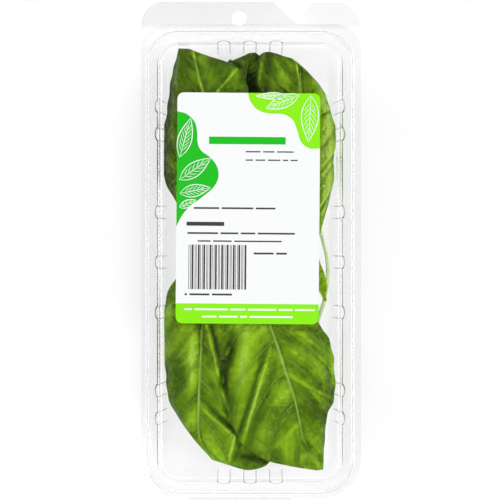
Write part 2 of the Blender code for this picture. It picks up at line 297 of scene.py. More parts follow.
def flow_group():
    """Faint flow marks that the forming leaves in the gloss of a clear sheet."""
    group, entry, leave = new_group("forming_flow", [("Place", "Vector")], [("Normal", "Vector")])
    flow = group.nodes.new("ShaderNodeTexNoise")
    flow.inputs["Scale"].default_value = 55.0
    flow.inputs["Detail"].default_value = 2.0
    bump = group.nodes.new("ShaderNodeBump")
    bump.inputs["Strength"].default_value = 0.02
    bump.inputs["Distance"].default_value = 0.001
    group.links.new(entry.outputs["Place"], flow.inputs["Vector"])
    group.links.new(flow.outputs["Fac"], bump.inputs["Height"])
    group.links.new(bump.outputs["Normal"], leave.inputs["Normal"])
    return group


forming_flow = flow_group()


def clear_sheet(name, tint, roughness, bend, tab_tint=None):
    """Clear plastic that lets light through to what lies under it.

    The tab was not drawn thin by the forming, so it keeps the whole sheet's greyer tint.
    """
    made, shader = simple_material(name, tint, roughness)
    shader.inputs["Transmission Weight"].default_value = 1.0
    shader.inputs["IOR"].default_value = bend
    nodes, links = made.node_tree.nodes, made.node_tree.links
    marks = add_group(made, forming_flow)
    links.new(marks.outputs["Normal"], shader.inputs["Normal"])
    if tab_tint:
        coordinates = nodes["Texture Coordinate"]
        parts = nodes.new("ShaderNodeSeparateXYZ")
        undrawn = nodes.new("ShaderNodeMapRange")
        undrawn.inputs["From Min"].default_value = place(0, 100.0, 0).y
        undrawn.inputs["From Max"].default_value = place(0, 102.0, 0).y
        shades = nodes.new("ShaderNodeMix")
        shades.data_type = "RGBA"
        shades.inputs["A"].default_value = (*tint, 1.0)
        shades.inputs["B"].default_value = (*tab_tint, 1.0)
        links.new(coordinates.outputs["Object"], parts.inputs["Vector"])
        links.new(parts.outputs["Y"], undrawn.inputs["Value"])
        links.new(undrawn.outputs["Result"], shades.inputs["Factor"])
        links.new(shades.outputs["Result"], shader.inputs["Base Color"])
    through = nodes.new("ShaderNodeBsdfTransparent")
    through.inputs["Color"].default_value = (0.998, 0.998, 0.998, 1.0)
    path = nodes.new("ShaderNodeLightPath")
    mix = nodes.new("ShaderNodeMixShader")
    links.new(path.outputs["Is Shadow Ray"], mix.inputs["Fac"])
    links.new(shader.outputs["BSDF"], mix.inputs[1])
    links.new(through.outputs["BSDF"], mix.inputs[2])
    links.new(mix.outputs["Shader"], nodes["Material Output"].inputs["Surface"])
    return made


CORNER_EDGE = 17.0
tray_stations = (fluted(LONG_FLUTES, 78), fluted(SHORT_FLUTES, 24, (17.6, 19.3, 26.8, 28.0)))
tray_corners = (
    ((30.0, 84.8, 1.8, 0.4, 0.0), 0),
    ((33.2, 88.0, 5.0, 0.4, 0.5), 0),
    ((36.2, 91.0, 8.0, 0.4, 0.8), 2.8),
    ((39.8, 94.4, 9.2, TRAY_TOP, 1.0), 1.5),
    ((41.2, 96.1, 10.7, TRAY_TOP, 1.0), 0),
    ((43.3, 98.5, 12.8, TRAY_TOP, 0.0), 0.9),
    ((43.95, 99.15, 13.3, TRAY_FLANGE, 0.0), 0.5),
    ((44.7, 99.9, 14.0, TRAY_FLANGE, 0.0), 0),
)
tray_outlines = []
for half_x, half_y, radius, height, depth in rounded_levels(tray_corners):
    outline = section(half_x, half_y, (radius,) * 4, tray_stations, depth, FORM_SHIFT)
    tray_outlines.append((outline, height))
tray_rim = section(FLANGE_X, FLANGE_Y, (CORNER_EDGE, 11.0, 12.0, CORNER_EDGE), tray_stations,
                   tab=tray_edge)
tray_outlines.append((tray_rim, TRAY_FLANGE))
tray = shell("tray_shell", tray_outlines)
apply_modifier(tray, "SOLIDIFY", thickness=SHEET * MM, offset=-1, use_quality_normals=True)
shade(tray, pi / 5)
clear_tray = clear_sheet("clear_tray_sheet", (0.994, 0.995, 0.995), 0.04, 1.1,
                         (0.925, 0.925, 0.922))
tray.data.materials.append(clear_tray)
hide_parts("tray")
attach(tray, "tray")

# ------------------------------------------------------------ lid
# A second clear sheet that nests over the tray's rim: flange with the hang tab and its round
# peg hole, raised ring, and a flat panel set a little lower, which carries the label.

LID_PANEL = 24.5
LID_FLANGE = 23.1
HANG_HOLE = (-5.2, 104.6)
HANG_HOLE_RADIUS = 3.2

lid_stations = ([(float(at), 0.0) for at in range(-78, 79, 12)],
                [(at, 0.0) for at in (-30.0, -25.0, -20.0, -15.0, -10.0, -5.0, 0.0, 4.5, 8.0, 9.6,
                                      11.2, 14.5, 17.6, 19.3, 21.0, 26.0, 30.0)])
lid_corners = (
    ((35.0, 89.7, 5.0, LID_PANEL, 0.0), 0),
    ((38.25, 92.95, 7.8, LID_PANEL, 0.0), 0.7),
    ((38.95, 93.65, 8.4, LID_TOP, 0.0), 0.7),
    ((44.2, 99.4, 13.5, LID_TOP, 0.0), 1.0),
    ((44.85, 100.05, 14.0, LID_FLANGE, 0.0), 0.5),
    ((45.6, 100.8, 14.7, LID_FLANGE, 0.0), 0),
)
lid_outlines = []
for half_x, half_y, radius, height, depth in rounded_levels(lid_corners):
    outline = section(half_x, half_y, (radius,) * 4, lid_stations, depth, FORM_SHIFT)
    lid_outlines.append((outline, height))
lid_rim = section(FLANGE_X, FLANGE_Y, (CORNER_EDGE, 11.0, 10.0, CORNER_EDGE), lid_stations,
                  tab=lid_edge)
lid_outlines.append((lid_rim, LID_FLANGE))
lid = shell("lid_shell", lid_outlines)
apply_modifier(lid, "SOLIDIFY", thickness=SHEET * MM, offset=-1, use_quality_normals=True)
bpy.ops.mesh.primitive_cylinder_add(vertices=48, radius=HANG_HOLE_RADIUS * MM, depth=4 * MM,
                                    location=place(*HANG_HOLE, LID_FLANGE))
punch = new_object("hang_hole_punch")
apply_modifier(lid, "BOOLEAN", operation="DIFFERENCE", solver="EXACT", object=punch)
bpy.data.objects.remove(punch, do_unlink=True)
shade(lid, pi / 5)
lid.data.materials.clear()
clear_lid = clear_sheet("clear_lid_sheet", (0.985, 0.986, 0.985), 0.05, 1.42,
                        (0.895, 0.895, 0.892))
lid.data.materials.append(clear_lid)
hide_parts("lid")
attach(lid, "lid")

# ------------------------------------------------------------ hinge
# The sheet runs on from the tray's flange to the lid's as one folded web at the short side,
# where the real pack bends when the lid is lifted; here it is built folded shut.

HINGE_X, HINGE_HALF = -4.7, 22.0
HINGE_Y = -103.6
HINGE_EDGE_Y = -102.3
HINGE_LOW, HINGE_HIGH = TRAY_FLANGE - 0.2, LID_FLANGE - 0.2
HINGE_THICK = 0.25
HINGE_STEPS, HINGE_COLUMNS = 12, 24

bpy.ops.object.select_all(action="DESELECT")
bpy.ops.mesh.primitive_grid_add(x_subdivisions=HINGE_COLUMNS, y_subdivisions=HINGE_STEPS + 2)
hinge = new_object("hinge_web_fold")
for vertex in hinge.data.vertices:
    row, column = divmod(vertex.index, HINGE_COLUMNS + 1)
    x = HINGE_X + HINGE_HALF * (2 * column / HINGE_COLUMNS - 1)
    turn = pi / 2 + pi * (row - 1) / HINGE_STEPS
    if row == 0:
        vertex.co = place(x, HINGE_EDGE_Y, HINGE_HIGH)
    elif row == HINGE_STEPS + 2:
        vertex.co = place(x, HINGE_EDGE_Y, HINGE_LOW)
    else:
        half_height, middle = (HINGE_HIGH - HINGE_LOW) / 2, (HINGE_HIGH + HINGE_LOW) / 2
        vertex.co = place(x, HINGE_Y + 0.5 + cos(turn), middle + half_height * sin(turn))
apply_modifier(hinge, "SOLIDIFY", thickness=HINGE_THICK * MM, offset=0)
shade(hinge, pi / 4)
hinge.data.materials.append(clear_sheet("clear_hinge_sheet", (0.97, 0.98, 0.98), 0.08, 1.42))
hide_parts("hinge_web")
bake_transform(hinge)

# ------------------------------------------------------------ label
# Coated white paper with rounded corners, printed in two greens, stuck on the lid's panel a
# little askew. The print is plain shapes, leaf outlines, bars and rules, with no lettering.

LABEL_X, LABEL_Y = 61.6, 99.5
LABEL_CENTRE = (-1.3, 22.7)
LABEL_TURN = -0.0082
LABEL_CORNER = 2.8
LABEL_Z = LID_PANEL + 0.04
PAPER = 0.12
INK = 0.012


def label_place(x, y, z):
    """A point of the label, from its middle, in the row's frame."""
    return place(x * cos(LABEL_TURN) - y * sin(LABEL_TURN) + LABEL_CENTRE[0],
                 x * sin(LABEL_TURN) + y * cos(LABEL_TURN) + LABEL_CENTRE[1], z)


def smooth(points, at):
    """Place at a share from 0 to 1 along a smooth curve through the points."""
    spans = len(points) - 1
    index = min(int(at * spans), spans - 1)
    t = at * spans - index
    b, c = points[index], points[index + 1]
    a = points[index - 1] if index else tuple(2 * p - q for p, q in zip(b, c))
    d = points[index + 2] if index + 2 <= spans else tuple(2 * q - p for p, q in zip(b, c))
    return tuple(
        b[k] + 0.5 * t * (c[k] - a[k] + t * (
            2 * a[k] - 5 * b[k] + 4 * c[k] - d[k] + t * (-a[k] + 3 * b[k] - 3 * c[k] + d[k])))
        for k in range(len(b)))


def flat_print(name, outlines, bottom, thickness, finish):
    """Flat closed outlines filled and given a thickness, as one piece of the label."""
    curve = bpy.data.curves.new(name, "CURVE")
    curve.dimensions = "2D"
    curve.fill_mode = "BOTH"
    curve.extrude = thickness / 2 * MM
    for outline in outlines:
        spline = curve.splines.new("POLY")
        spline.points.add(len(outline) - 1)
        for point, (x, y) in zip(spline.points, outline):
            point.co = (*label_place(x, y, 0).xy, 0, 1)
        spline.use_cyclic_u = True
    drawn = bpy.data.objects.new(name, curve)
    bpy.context.scene.collection.objects.link(drawn)
    drawn.location.z = (bottom + thickness / 2) * MM
    bpy.ops.object.select_all(action="DESELECT")
    drawn.select_set(True)
    bpy.context.view_layer.objects.active = drawn
    bpy.ops.object.convert(target="MESH")
    bpy.ops.object.transform_apply(location=True, rotation=True, scale=True)
    made = new_object(name)
    bpy.ops.object.mode_set(mode="EDIT")
    bpy.ops.mesh.select_all(action="SELECT")
    bpy.ops.mesh.remove_doubles(threshold=0.0000005)
    bpy.ops.object.mode_set(mode="OBJECT")
    made.data.materials.append(finish)
    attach(made, "lid")
    return made


def fibre_group():
    """Fibre relief of coated paper, and a faint mottle between two shades."""
    entries = [("Place", "Vector"), ("Shade", "Color"), ("Light", "Color")]
    group, entry, leave = new_group("paper_fibre", entries,
                                    [("Colour", "Color"), ("Normal", "Vector")])
    nodes, links = group.nodes, group.links
    fibre = nodes.new("ShaderNodeTexNoise")
    fibre.inputs["Scale"].default_value = 1400.0
    fibre.inputs["Detail"].default_value = 4.0
    tone = nodes.new("ShaderNodeMix")
    tone.data_type = "RGBA"
    bump = nodes.new("ShaderNodeBump")
    bump.inputs["Strength"].default_value = 0.12
    bump.inputs["Distance"].default_value = 0.0001
    links.new(entry.outputs["Place"], fibre.inputs["Vector"])
    links.new(fibre.outputs["Fac"], tone.inputs["Factor"])
    links.new(entry.outputs["Shade"], tone.inputs["A"])
    links.new(entry.outputs["Light"], tone.inputs["B"])
    links.new(tone.outputs["Result"], leave.inputs["Colour"])
    links.new(fibre.outputs["Fac"], bump.inputs["Height"])
    links.new(bump.outputs["Normal"], leave.inputs["Normal"])
    return group


paper_fibre = fibre_group()


def printed_paper(name, colour, roughness, mottle):
    """Coated paper or ink on it. The mottle is the share by which its colour varies."""
    made, shader = simple_material(name, colour, roughness)
    fibre = add_group(made, paper_fibre)
    fibre.inputs["Shade"].default_value = (*(c * (1 - mottle) for c in colour), 1.0)
    fibre.inputs["Light"].default_value = (*(min(1.0, c * (1 + mottle)) for c in colour), 1.0)
    made.node_tree.links.new(fibre.outputs["Colour"], shader.inputs["Base Color"])
    made.node_tree.links.new(fibre.outputs["Normal"], shader.inputs["Normal"])
    return made


def label_corner(side_x, side_y, steps=6):
    """Points round one corner of the label, anticlockwise."""
    quarter = {(1, 1): 0, (-1, 1): 1, (-1, -1): 2, (1, -1): 3}[(side_x, side_y)]
    centre = (side_x * (LABEL_X / 2 - LABEL_CORNER), side_y * (LABEL_Y / 2 - LABEL_CORNER))
    return arc(centre, LABEL_CORNER, quarter * pi / 2, steps)


paper = printed_paper("label_paper", (0.93, 0.935, 0.93), 0.42, 0.015)
lime = printed_paper("lime_ink", (0.27, 0.87, 0.004), 0.38, 0.03)
green = printed_paper("leaf_green_ink", (0.012, 0.53, 0.012), 0.38, 0.03)
black = printed_paper("dark_ink", (0.05, 0.042, 0.04), 0.45, 0.1)

label_outline = []
for corner in ((1, 1), (-1, 1), (-1, -1), (1, -1)):
    label_outline += label_corner(*corner)
label = flat_print("label_sheet", [label_outline], LABEL_Z, PAPER, paper)
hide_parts("label")
INK_Z = LABEL_Z + PAPER + 0.002

BAND_TOP = -41.1
band = label_corner(-1, -1) + label_corner(1, -1)
band += [(LABEL_X / 2, BAND_TOP), (-LABEL_X / 2, BAND_TOP)]
flat_print("label_foot_band", [band], INK_Z, INK, lime)

corner_wave = ((-0.4, 49.75), (0.6, 46.2), (3.6, 42.6), (8.2, 41.0), (15.0, 40.6), (19.0, 38.2),
               (20.8, 34.2), (22.6, 28.8), (26.2, 26.1), (30.8, 26.0))
corner_patch = [smooth(corner_wave, step / 36) for step in range(37)] + label_corner(1, 1)
flat_print("label_corner_patch", [corner_patch], INK_Z, INK, lime)

side_wave = ((-30.8, 41.6), (-26.6, 40.4), (-23.2, 37.0), (-22.1, 32.4), (-21.9, 28.0),
             (-20.2, 24.6), (-16.4, 21.8), (-13.4, 17.8), (-12.9, 13.0), (-15.2, 8.6),
             (-20.0, 4.5), (-25.2, 0.4), (-28.3, -3.2), (-30.8, -8.0))
side_patch = [smooth(side_wave, step / 52) for step in range(53)]
flat_print("label_side_patch", [side_patch], INK_Z, INK, green)


def stroke(points, width, steps):
    """Outline of a pen line along a smooth curve, tapering to both ends."""
    left, right = [], []
    for step in range(steps + 1):
        at = step / steps
        x, y = smooth(points, at)
        before, after = smooth(points, max(0, at - 0.02)), smooth(points, min(1, at + 0.02))
        run_x, run_y = after[0] - before[0], after[1] - before[1]
        length = hypot(run_x, run_y)
        half = width / 2 * (0.35 + 0.65 * sin(pi * at))
        left.append((x - run_y / length * half, y + run_x / length * half))
        right.append((x + run_y / length * half, y - run_x / length * half))
    return left + right[::-1]


def drawn_leaf(base, length, width, heading, veins):
    """Pen lines of one leaf: two sides, a midrib and pairs of veins."""
    ahead = (cos(heading), sin(heading))
    aside = (-sin(heading), cos(heading))

    def at(along, across):
        """A point of the drawn leaf, from its base."""
        return tuple(base[k] + ahead[k] * along + aside[k] * across for k in range(2))

    lines = []
    for side in (-1, 1):
        edge = [at(length * u, side * width * sin(pi * u ** 0.85))
                for u in (0, 0.2, 0.45, 0.7, 0.9, 1)]
        lines.append(stroke(edge, 0.42, 16))
        for vein in range(veins):
            u = 0.18 + 0.62 * vein / veins
            reach = 0.72 * width * sin(pi * (u + 0.12) ** 0.85)
            vein_line = [at(length * u, side * 0.35), at(length * (u + 0.07), side * reach * 0.6),
                         at(length * (u + 0.16), side * reach)]
            lines.append(stroke(vein_line, 0.26, 5))
    lines.append(stroke([at(0, 0), at(length * 0.5, 0), at(length * 0.94, 0)], 0.34, 6))
    return lines


corner_leaves = (
    drawn_leaf((26.8, 48.8), 20.0, 3.7, -1.62, 6) + drawn_leaf((21.6, 48.9), 15.5, 2.7, -2.75, 5)
    + drawn_leaf((16.4, 48.7), 13.5, 1.4, -3.12, 4))
side_leaves = (
    drawn_leaf((-29.6, 21.8), 17.5, 3.0, 1.3, 6) + drawn_leaf((-29.6, 12.0), 16.5, 3.0, 0.62, 5)
    + drawn_leaf((-29.4, 6.2), 13.5, 2.6, 0.2, 5) + drawn_leaf((-29.6, 0.2), 8.0, 1.6, 0.42, 3))
flat_line_z = INK_Z + INK + 0.002
for name, lines in (("label_corner_lines", corner_leaves), ("label_side_lines", side_leaves)):
    drawings = [flat_print(f"{name}_{index}", [line], flat_line_z, INK, paper)
                for index, line in enumerate(lines)]
    bpy.ops.object.select_all(action="DESELECT")
    for drawing in drawings:
        drawing.select_set(True)
    bpy.context.view_layer.objects.active = drawings[0]
    bpy.ops.object.join()
    new_object(name)

BARS_LEFT, BARS_RIGHT = -25.4, -1.0
BARS_LOW, BARS_HIGH = -35.0, -15.8
bars = []
bar_at, bar_index = BARS_LEFT, 0
while bar_at < BARS_RIGHT:
    wide = 0.26 * (1 + (bar_index * 5 + bar_index * bar_index) % 3)
    bars.append([(bar_at, BARS_LOW), (bar_at + wide, BARS_LOW),
                 (bar_at + wide, BARS_HIGH), (bar_at, BARS_HIGH)])
    bar_at += wide + 0.27 * (1 + (bar_index * 3 + 1) % 2)
    bar_index += 1
flat_print("label_bars", bars, INK_Z, INK, black)


def rule(x_left, x_right, y, width):
    """Outline of one level bar of ink."""
    return [(x_left, y - width / 2), (x_right, y - width / 2),
            (x_right, y + width / 2), (x_left, y + width / 2)]


def dashes(x_left, y, lengths, width):
    """A row of plain dashes, spaced like words."""
    row, at = [], x_left
    for length in lengths:
        row.append(rule(at, at + length, y, width))
        at += length + 1.1
    return row


flat_print("label_heading", dashes(-17.0, 29.2, (33.0,), 3.2), INK_Z, INK, green)
grey_rows = (
    dashes(-1.2, 24.4, (6.4, 4.9, 7.2), 0.55) + dashes(-1.2, 20.8, (3.2, 4.2, 5.4, 2.2, 3.0), 0.55)
    + dashes(-23.4, 0.0, (11.0, 13.6, 8.4), 0.75) + dashes(-26.4, -6.8, (16.2,), 1.7)
    + dashes(-26.0, -10.8, (13.2, 7.6, 6.2, 16.0), 0.75)
    + dashes(-21.6, -14.2, (5.6, 8.0, 20.4), 0.6) + dashes(2.6, -19.4, (8.6, 4.6), 0.8)
    + dashes(-27.0, -37.2, (1.0, 8.6, 8.6), 0.8))
flat_print("label_rows", grey_rows, INK_Z, INK, black)
white_rows = (dashes(-27.2, -43.6, (3.4, 14.4, 6.4, 12.2, 6.0, 8.4), 0.8)
              + dashes(-19.4, -46.7, (6.2, 8.0, 3.0, 18.6), 0.8))
flat_print("label_band_rows", white_rows, flat_line_z, INK, paper)

# ------------------------------------------------------------ blades
# Large soft basil blades lying in layers. Each is puckered between its side veins, folded
# along the midrib and curled at the margin; the four upper ones show through the lid. Shade
# in their troughs and under the blades above, and highlights on ridges and rims, are painted
# into their colour.

FLOOR_TOP = 0.4
WALL_FOOT_X, WALL_FOOT_Z, WALL_DRAFT = 36.1, 2.9, 3.2 / 21.3
WALL_CLEAR = 0.55
BLADE_THICK = 0.26


def pile(x, y):
    """How full the pile stands over a place in the tray: 1 in the middle, less by the walls."""
    across, along = abs(x) / 38.5, abs(y) / 93.0
    ripple = 0.02 * sin(x / 8.0 + y / 17.0) * cos(y / 14.0 - x / 23.0)
    return 1.0 - 0.2 * across ** 5 - 0.1 * along ** 8 + ripple


def ease(low, high, value):
    """0 below low, 1 above high, and a smooth step between."""
    t = min(1.0, max(0.0, (value - low) / (high - low)))
    return t * t * (3 - 2 * t)


def along_segment(x, y, a, b):
    """Share along a segment and signed distance from it, positive on its left."""
    run_x, run_y = b[0] - a[0], b[1] - a[1]
    length = hypot(run_x, run_y)
    share = ((x - a[0]) * run_x + (y - a[1]) * run_y) / length ** 2
    aside = ((y - a[1]) * run_x - (x - a[0]) * run_y) / length
    return share, aside


def swell(x, y, a, b, width):
    """How much a place belongs to a long ridge or trough between two points, 0 to 1."""
    share, aside = along_segment(x, y, a, b)
    ends = ease(-0.35, 0.15, share) * (1 - ease(0.85, 1.35, share))
    return ends * exp(-((aside / width) ** 2))


def cliff(x, y, a, b, width):
    """A fold: 1 on the left of the segment near it, with a steep drop to 0 at the line."""
    share, aside = along_segment(x, y, a, b)
    ends = ease(-0.25, 0.2, share) * (1 - ease(0.8, 1.25, share))
    return ends * 0.5 * (1 + tanh(aside / width)) * exp(-((aside / 6.0) ** 2))


def blade(name, outline, height, seed, curl=(1.0, 1.0), folds=(), plain=0.5, rows=80,
          columns=56, pucker=1.0, pairs=6):
    """Spread a grid between the margins of one blade and give it its relief and thickness.

    curl is how far the two margins bend down, in millimetres. Each fold is a kind, its two
    ends, its width, its lift in millimetres and its tone, from -1 deep to 1 pale; the tone is
    mostly painted light: painted shade in troughs and pockets and painted shadow under the
    blades above, painted highlights on ridges and rims, and in a few places the blade's own
    yellow-green. The UV map holds the place across the blade and the count of side veins
    passed; the tone attribute holds the blade's plain tone, darker towards the margins, with
    the folds' painted shade and highlights added up and down. Both are for the blade's own
    material.
    """
    midrib, left, right = outline
    bpy.ops.object.select_all(action="DESELECT")
    bpy.ops.mesh.primitive_grid_add(x_subdivisions=columns, y_subdivisions=rows)
    made = new_object(name)
    tone = made.data.attributes.new("tone", "FLOAT", "POINT")
    pattern = []
    for vertex in made.data.vertices:
        row, column = divmod(vertex.index, columns + 1)
        spread, along = 2 * column / columns - 1, row / rows
        centre = smooth(midrib, along)
        margin = smooth(left if spread < 0 else right, along)
        share = abs(spread)
        full = hypot(margin[0] - centre[0], margin[1] - centre[1])
        wave = 1 + 0.012 * sin(along * 61 + spread * 3 + seed) * ease(0.8, 1, share)
        x, y = (c + (m - c) * share * wave for c, m in zip(centre, margin))
        drift = noise.noise(Vector((x / 13, y / 13, seed))) * 0.22
        count = pairs * (along - 0.3 * share ** 1.25 * min(1, full / 20)) + drift * share
        side_shift = 0.5 if spread < 0 else 0.0
        pattern.append((spread, count + side_shift))
        body = ease(1.5, 9.0, full) * (1 - ease(0.9, 1.0, along))
        puff = abs(sin(pi * (count + side_shift))) ** 0.8
        relief = pucker * body * puff * ease(0.0, 0.3, share) * (1 - 0.6 * ease(0.7, 1.0, share))
        relief += body * (0.35 * sin(pi * min(1, share * 1.1)) - 0.7 * exp(-(share / 0.07) ** 2))
        relief += 0.5 * noise.noise(Vector((x / 4.5, y / 4.5, seed + 7))) * body
        relief += 1.1 * noise.noise(Vector((x / 11, y / 16, seed + 3))) * body
        edge = ease(0.72, 1.0, share)
        relief += body * edge * 0.35 * sin(along * 23 + seed * 1.7)
        relief -= body * curl[0 if spread < 0 else 1] * ease(0.66, 1.0, share) ** 2
        # The tone starts from the plain one, darker towards the margins and a little uneven; each
        # fold below adds its lift to the relief and its painted shade (below 0) or painted
        # highlight (above 0) to the tone.
        depth = plain - 0.16 * edge * body + 0.1 * noise.noise(Vector((x / 9, y / 9, seed - 5)))
        for shape, start, end, width, lift, painted_light_and_tone in folds:
            amount = shape(x, y, start, end, width)
            relief += amount * lift
            depth += amount * painted_light_and_tone / 2
        tone.data[vertex.index].value = min(1.0, max(0.0, depth))
        z = 2 * FLOOR_TOP + height * pile(x, y) + relief
        z = max(FLOOR_TOP + 0.45, min(LID_PANEL - SHEET - 0.3, z))
        wall = WALL_FOOT_X + WALL_DRAFT * (z - WALL_FOOT_Z) - WALL_CLEAR
        x = min(wall + FORM_SHIFT[0], max(FORM_SHIFT[0] - wall, x))
        vertex.co = place(x, y, z)
    for corner in made.data.loops:
        made.data.uv_layers[0].data[corner.index].uv = pattern[corner.vertex_index]
    if sum(face.normal.z for face in made.data.polygons) < 0:
        made.data.flip_normals()
    apply_modifier(made, "SOLIDIFY", thickness=BLADE_THICK * MM, offset=0, material_offset=1)
    shade(made, pi / 3)
    made.data.materials.append(blade_top)
    made.data.materials.append(blade_under)
    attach(made, "tray")
    return made


def blade_group():
    """Leaf skin: blotches from deep to yellow green, a fine net and pale veins, with painted
    shade in the creases along the veins and painted light on the puffed skin between them.

    Map is the place across the blade and the count of side veins, and Tone is the blade's
    own shade with the painted shade and highlights of its folds, from 0 deep to 1 pale; its
    palest ridges are drawn as vein-coloured lines.
    """
    shades = [(name, "Color") for name in ("Deep", "Dark", "Middle", "Bright", "Vein")]
    group, entry, leave = new_group(
        "blade_skin",
        [("Map", "Vector"), ("Place", "Vector"), ("Tone", "Float"), ("Vein Height", "Float")]
        + shades,
        [("Colour", "Color"), ("Gloss", "Float"), ("Normal", "Vector")])
    nodes, links = group.nodes, group.links
    where, tone = entry.outputs["Place"], entry.outputs["Tone"]
    deep, dark, middle, bright, vein = (entry.outputs[name] for name, _ in shades)

    def feed(sockets, values):
        """Set each socket to its number, or link what feeds it."""
        for socket, value in zip(sockets, values):
            if isinstance(value, (int, float)):
                socket.default_value = value
            elif value is not None:
                links.new(value, socket)

    def maths(operation, first, second=None):
        """Result of one arithmetic step."""
        node = nodes.new("ShaderNodeMath")
        node.operation = operation
        feed(node.inputs, (first, second))
        return node.outputs[0]

    def mix(factor, first, second):
        """The first colour, with the second laid over it as far as the factor says."""
        node = nodes.new("ShaderNodeMix")
        node.data_type = "RGBA"
        feed([node.inputs[name] for name in ("Factor", "A", "B")], (factor, first, second))
        return node.outputs["Result"]

    def span(value, start, end, smooth_ends=False, falling=False):
        """Mask that goes from 0 at the start to 1 at the end, or falls from 1 to 0."""
        node = nodes.new("ShaderNodeMapRange")
        if smooth_ends:
            node.interpolation_type = "SMOOTHSTEP"
        node.inputs["From Min"].default_value = start
        node.inputs["From Max"].default_value = end
        node.inputs["To Min"].default_value = 1.0 if falling else 0.0
        node.inputs["To Max"].default_value = 0.0 if falling else 1.0
        links.new(value, node.inputs["Value"])
        return node.outputs["Result"]

    def ramp(value, low, high):
        """Soft mask of what lies close to a line: 1 on it, 0 beyond the high distance."""
        return span(value, low, high, smooth_ends=True, falling=True)

    def noise_texture(vector, scale, detail):
        """Soft noise over the given coordinates."""
        texture = nodes.new("ShaderNodeTexNoise")
        texture.inputs["Scale"].default_value = scale
        texture.inputs["Detail"].default_value = detail
        links.new(vector, texture.inputs["Vector"])
        return texture

    def cloud(scale, detail, low, high):
        """Mask of uneven blotches spread over the skin."""
        texture = noise_texture(where, scale, detail)
        texture.inputs["Roughness"].default_value = 0.55
        texture.inputs["Distortion"].default_value = 0.4
        return span(texture.outputs["Fac"], low, high, smooth_ends=True)

    def part(value, share):
        """A mask weakened to a share of itself."""
        return maths("MULTIPLY", value, share)

    split = nodes.new("ShaderNodeSeparateXYZ")
    links.new(entry.outputs["Map"], split.inputs["Vector"])
    share = maths("ABSOLUTE", split.outputs["X"])
    fraction = maths("FRACT", maths("ADD", split.outputs["Y"], 20.0))
    off_vein = maths("SUBTRACT", 0.5, maths("ABSOLUTE", maths("SUBTRACT", fraction, 0.5)))
    side_veins = maths("MULTIPLY", ramp(off_vein, 0.004, 0.026), ramp(share, 0.3, 0.95))
    ribs = maths("MAXIMUM", part(side_veins, 0.6), ramp(share, 0.008, 0.036))
    # Painted shade: the skin is darkened along the side veins and the midrib, where it dips into
    # creases.
    crease_shade = maths("MAXIMUM", ramp(off_vein, 0.02, 0.14), ramp(share, 0.02, 0.1))

    shift = nodes.new("ShaderNodeVectorMath")
    shift.operation = "MULTIPLY_ADD"
    links.new(noise_texture(where, 160.0, 2.0).outputs["Color"], shift.inputs[0])
    shift.inputs[1].default_value = (0.005, 0.005, 0.005)
    links.new(where, shift.inputs[2])
    cells = []
    for scale in (230.0, 620.0):
        net = nodes.new("ShaderNodeTexVoronoi")
        net.feature = "DISTANCE_TO_EDGE"
        net.inputs["Scale"].default_value = scale
        links.new(shift.outputs["Vector"], net.inputs["Vector"])
        cells.append(net.outputs["Distance"])
    web = maths("MAXIMUM", ramp(cells[0], 0.0, 0.05), part(ramp(cells[1], 0.0, 0.1), 0.4))
    puffs = maths("ADD", part(ramp(cells[0], 0.0, 0.35), -1.0),
                  part(ramp(cells[1], 0.0, 0.35), -0.35))

    stretch = nodes.new("ShaderNodeMapping")
    stretch.inputs["Scale"].default_value = (0.9, 2.2, 1.0)
    links.new(entry.outputs["Map"], stretch.inputs["Vector"])
    streaks = noise_texture(stretch.outputs["Vector"], 2.4, 4.0).outputs["Fac"]
    # Painted light: patches of the puffed skin between the side veins are lightened towards the
    # bright green.
    painted_light_between_veins = maths("MULTIPLY", cloud(90.0, 3.0, 0.42, 0.68), part(off_vein, 2.0))
    colour = mix(cloud(48.0, 3.0, 0.38, 0.6), dark, middle)
    # The Tone mixes carry the folds' painted shade towards deep and their painted highlights
    # towards bright, and draw the palest highlights as vein-coloured lines.
    for mask, amount, shade_to in (
            (painted_light_between_veins, 0.85, bright), (cloud(380.0, 2.0, 0.5, 0.75), 0.2, bright),
            (cloud(300.0, 3.0, 0.52, 0.75), 0.2, dark), (span(streaks, 0.5, 0.78), 0.4, bright),
            (span(streaks, 0.5, 0.25), 0.45, dark), (span(tone, 0.5, 1.0), 0.85, bright),
            (span(tone, 0.5, 0.0), 0.95, deep), (span(tone, 0.86, 1.0), 0.6, vein),
            (crease_shade, 0.38, dark), (web, 0.3, dark), (ribs, 0.7, vein)):
        colour = mix(part(mask, amount), colour, shade_to)
    links.new(colour, leave.inputs["Colour"])
    links.new(cloud(240.0, 2.0, 0.3, 0.7), leave.inputs["Gloss"])
    bump = nodes.new("ShaderNodeBump")
    bump.inputs["Strength"].default_value = 0.8
    bump.inputs["Distance"].default_value = 0.0006
    relief = maths("ADD", puffs, maths("MULTIPLY", ribs, entry.outputs["Vein Height"]))
    links.new(relief, bump.inputs["Height"])
    links.new(bump.outputs["Normal"], leave.inputs["Normal"])
    return group


blade_skin = blade_group()


